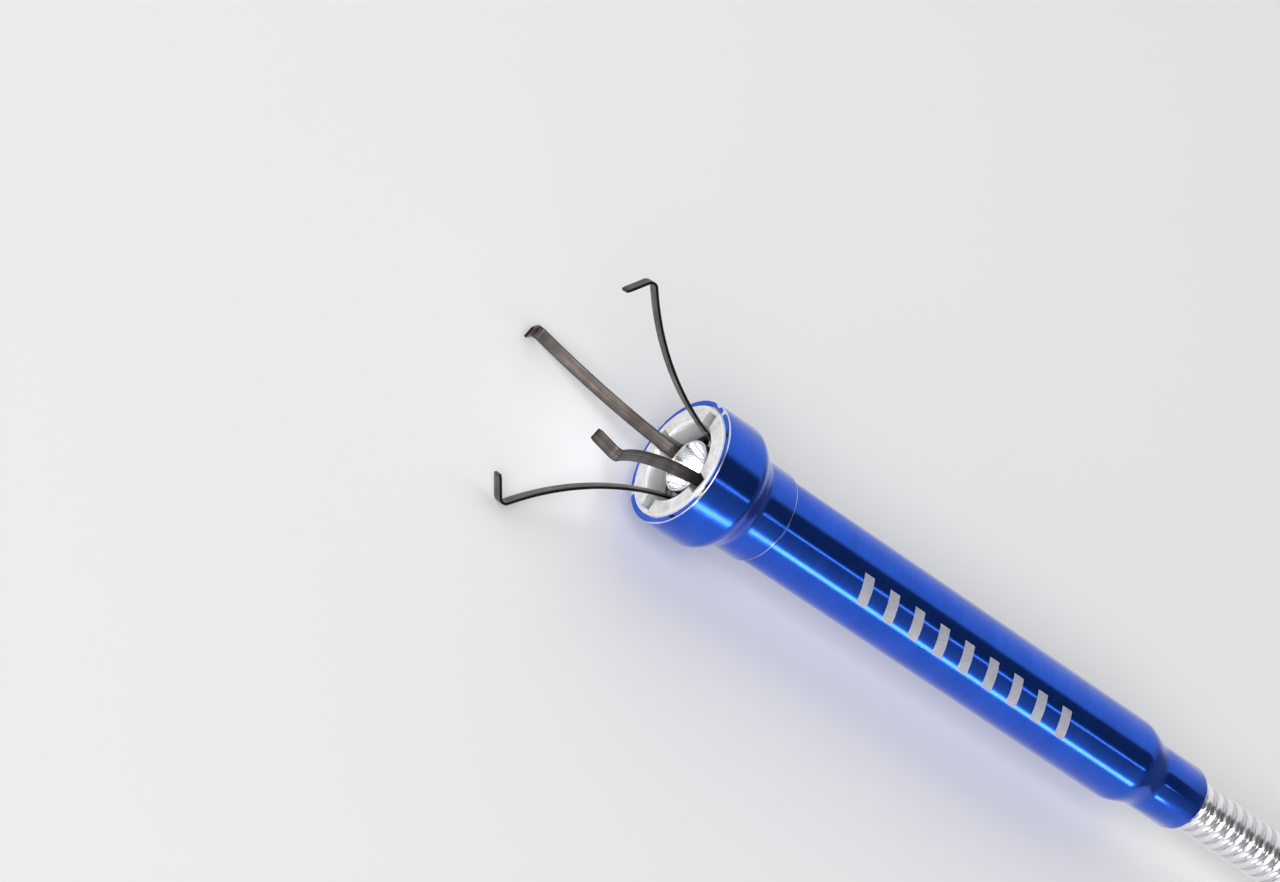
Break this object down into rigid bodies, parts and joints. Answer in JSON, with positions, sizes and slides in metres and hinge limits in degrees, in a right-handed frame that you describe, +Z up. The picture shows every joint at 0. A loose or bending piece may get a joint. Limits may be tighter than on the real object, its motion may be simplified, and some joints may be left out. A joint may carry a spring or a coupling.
{
  "type": "magnetic pickup tool",
  "caption": "Flexible pick-up tool with a ring magnet, a lamp and spring claws on its head, a bendable metal neck and a push-button handle.",
  "frame": {"origin": "centre of the ring magnet's front face, on the tool's axis", "axes": "+X out of the magnet's face along the tool's axis, +Z up; the tool lies level on its two lower claws and its finger flange"},
  "size_m": [0.5811, 0.0312, 0.0262],
  "materials": {
    "anodised_blue": "blue anodised, satin turned",
    "brass": "turned",
    "bright_reflector": "polished",
    "cable_steel": "drawn wire",
    "cell_steel": "plated can",
    "claw_steel": "dark tempered spring steel",
    "gooseneck_chrome": "bright plated wire",
    "lamp_lens": "clear white epoxy",
    "magnet_nickel": "dull nickel plate, slightly grainy",
    "plated_steel": "plated, smooth",
    "spring_steel": "drawn wire",
    "tinned_wire": "tinned",
    "white_plastic": "moulded"
  },
  "bodies": {
    "head": {"barrel": "anodised_blue", "neck_bush": "brass", "gooseneck_front": "gooseneck_chrome"},
    "cap": {"front_cap": "anodised_blue", "magnet_ring": "magnet_nickel", "magnet_backing_ring": "plated_steel", "reflector": "bright_reflector", "led_lamp": "lamp_lens", "led_leads": "tinned_wire", "lamp_holder": "white_plastic", "battery_sleeve": "white_plastic", "button_cells": "cell_steel", "contact_spring": "plated_steel", "sleeve_plug": "brass"},
    "carrier": {"claw_carrier": "brass", "carrier_screw": "plated_steel", "push_cable_front": "cable_steel", "claw_upper_left_shank": "claw_steel", "claw_upper_right_shank": "claw_steel", "claw_lower_left_shank": "claw_steel", "claw_lower_right_shank": "claw_steel"},
    "finger_upper_left": {"claw_upper_left_finger": "claw_steel"},
    "tip_upper_left": {"claw_upper_left_tip": "claw_steel"},
    "finger_upper_right": {"claw_upper_right_finger": "claw_steel"},
    "tip_upper_right": {"claw_upper_right_tip": "claw_steel"},
    "finger_lower_left": {"claw_lower_left_finger": "claw_steel"},
    "tip_lower_left": {"claw_lower_left_tip": "claw_steel"},
    "finger_lower_right": {"claw_lower_right_finger": "claw_steel"},
    "tip_lower_right": {"claw_lower_right_tip": "claw_steel"},
    "link_1": {"gooseneck_link_1": "gooseneck_chrome", "push_cable_link_1": "cable_steel"},
    "link_2": {"gooseneck_link_2": "gooseneck_chrome", "push_cable_link_2": "cable_steel"},
    "link_3": {"gooseneck_link_3": "gooseneck_chrome", "push_cable_link_3": "cable_steel"},
    "link_4": {"gooseneck_link_4": "gooseneck_chrome", "push_cable_link_4": "cable_steel"},
    "link_5": {"gooseneck_link_5": "gooseneck_chrome", "push_cable_link_5": "cable_steel"},
    "link_6": {"gooseneck_link_6": "gooseneck_chrome", "push_cable_link_6": "cable_steel"},
    "link_7": {"gooseneck_link_7": "gooseneck_chrome", "push_cable_link_7": "cable_steel"},
    "handle": {"gooseneck_rear": "gooseneck_chrome", "handle_tube": "anodised_blue", "finger_flange": "anodised_blue", "guide_bush": "brass", "return_spring": "spring_steel"},
    "plunger": {"plunger_rod": "plated_steel", "thumb_button": "anodised_blue", "cable_end_clamp": "brass", "push_cable_rear": "cable_steel"}
  },
  "joints": [
    {"name": "cap_twist", "type": "hinge", "parent": "head", "child": "cap", "pos_m": [-0.012, 0, 0], "axis": [1, 0, 0], "range_deg": [0, 90]},
    {"name": "plunger_slide", "type": "slide", "parent": "handle", "child": "plunger", "axis": [-1, 0, 0], "range_m": [0, 0.02], "deforming": ["return_spring"]},
    {"name": "carrier_slide", "type": "slide", "parent": "cap", "child": "carrier", "axis": [-1, 0, 0], "range_m": [0, 0.02]},
    {"name": "finger_upper_left_flex", "type": "hinge", "parent": "carrier", "child": "finger_upper_left", "pos_m": [-0.006, 0.00354, 0.00354], "axis": [0, 0.6088, -0.7934], "range_deg": [0, 15.5]},
    {"name": "tip_upper_left_flex", "type": "hinge", "parent": "finger_upper_left", "child": "tip_upper_left", "pos_m": [0.00801, 0.00689, 0.00611], "axis": [0, 0.6088, -0.7934], "range_deg": [0, 20.3]},
    {"name": "finger_upper_right_flex", "type": "hinge", "parent": "carrier", "child": "finger_upper_right", "pos_m": [-0.006, -0.00354, 0.00354], "axis": [0, 0.6088, 0.7934], "range_deg": [0, 15.5]},
    {"name": "tip_upper_right_flex", "type": "hinge", "parent": "finger_upper_right", "child": "tip_upper_right", "pos_m": [0.00801, -0.00689, 0.00611], "axis": [0, 0.6088, 0.7934], "range_deg": [0, 20.3]},
    {"name": "finger_lower_left_flex", "type": "hinge", "parent": "carrier", "child": "finger_lower_left", "pos_m": [-0.006, 0.00354, -0.00354], "axis": [0, -0.6088, -0.7934], "range_deg": [0, 15.5]},
    {"name": "tip_lower_left_flex", "type": "hinge", "parent": "finger_lower_left", "child": "tip_lower_left", "pos_m": [0.00801, 0.00689, -0.00611], "axis": [0, -0.6088, -0.7934], "range_deg": [0, 20.3]},
    {"name": "finger_lower_right_flex", "type": "hinge", "parent": "carrier", "child": "finger_lower_right", "pos_m": [-0.006, -0.00354, -0.00354], "axis": [0, -0.6088, 0.7934], "range_deg": [0, 15.5]},
    {"name": "tip_lower_right_flex", "type": "hinge", "parent": "finger_lower_right", "child": "tip_lower_right", "pos_m": [0.00801, -0.00689, -0.00611], "axis": [0, -0.6088, 0.7934], "range_deg": [0, 20.3]},
    {"name": "gooseneck_flex_1", "type": "hinge", "parent": "head", "child": "link_1", "pos_m": [-0.1284, 0, 0], "axis": [0, 0, 1], "range_deg": [-20, 20]},
    {"name": "gooseneck_flex_2", "type": "hinge", "parent": "link_1", "child": "link_2", "pos_m": [-0.1716, 0, 0], "axis": [0, 0, 1], "range_deg": [-20, 20]},
    {"name": "gooseneck_flex_3", "type": "hinge", "parent": "link_2", "child": "link_3", "pos_m": [-0.2148, 0, 0], "axis": [0, 0, 1], "range_deg": [-20, 20]},
    {"name": "gooseneck_flex_4", "type": "hinge", "parent": "link_3", "child": "link_4", "pos_m": [-0.258, 0, 0], "axis": [0, 0, 1], "range_deg": [-20, 20]},
    {"name": "gooseneck_flex_5", "type": "hinge", "parent": "link_4", "child": "link_5", "pos_m": [-0.3012, 0, 0], "axis": [0, 0, 1], "range_deg": [-20, 20]},
    {"name": "gooseneck_flex_6", "type": "hinge", "parent": "link_5", "child": "link_6", "pos_m": [-0.3444, 0, 0], "axis": [0, 0, 1], "range_deg": [-20, 20]},
    {"name": "gooseneck_flex_7", "type": "hinge", "parent": "link_6", "child": "link_7", "pos_m": [-0.3876, 0, 0], "axis": [0, 0, 1], "range_deg": [-20, 20]},
    {"name": "gooseneck_flex_8", "type": "hinge", "parent": "link_7", "child": "handle", "pos_m": [-0.4308, 0, 0], "axis": [0, 0, 1], "range_deg": [-20, 20]}
  ],
  "couplings": [
    {"joint": "carrier_slide", "follows": "plunger_slide", "ratio": 1},
    {"joint": "finger_upper_left_flex", "follows": "plunger_slide", "rad_per_m": 13.526},
    {"joint": "tip_upper_left_flex", "follows": "plunger_slide", "rad_per_m": 17.715},
    {"joint": "finger_upper_right_flex", "follows": "plunger_slide", "rad_per_m": 13.526},
    {"joint": "tip_upper_right_flex", "follows": "plunger_slide", "rad_per_m": 17.715},
    {"joint": "finger_lower_left_flex", "follows": "plunger_slide", "rad_per_m": 13.526},
    {"joint": "tip_lower_left_flex", "follows": "plunger_slide", "rad_per_m": 17.715},
    {"joint": "finger_lower_right_flex", "follows": "plunger_slide", "rad_per_m": 13.526},
    {"joint": "tip_lower_right_flex", "follows": "plunger_slide", "rad_per_m": 17.715},
    {"joint": "gooseneck_flex_2", "follows": "gooseneck_flex_1", "ratio": 1},
    {"joint": "gooseneck_flex_3", "follows": "gooseneck_flex_1", "ratio": 1},
    {"joint": "gooseneck_flex_4", "follows": "gooseneck_flex_1", "ratio": 1},
    {"joint": "gooseneck_flex_5", "follows": "gooseneck_flex_1", "ratio": 1},
    {"joint": "gooseneck_flex_6", "follows": "gooseneck_flex_1", "ratio": 1},
    {"joint": "gooseneck_flex_7", "follows": "gooseneck_flex_1", "ratio": 1},
    {"joint": "gooseneck_flex_8", "follows": "gooseneck_flex_1", "ratio": 1}
  ]
}
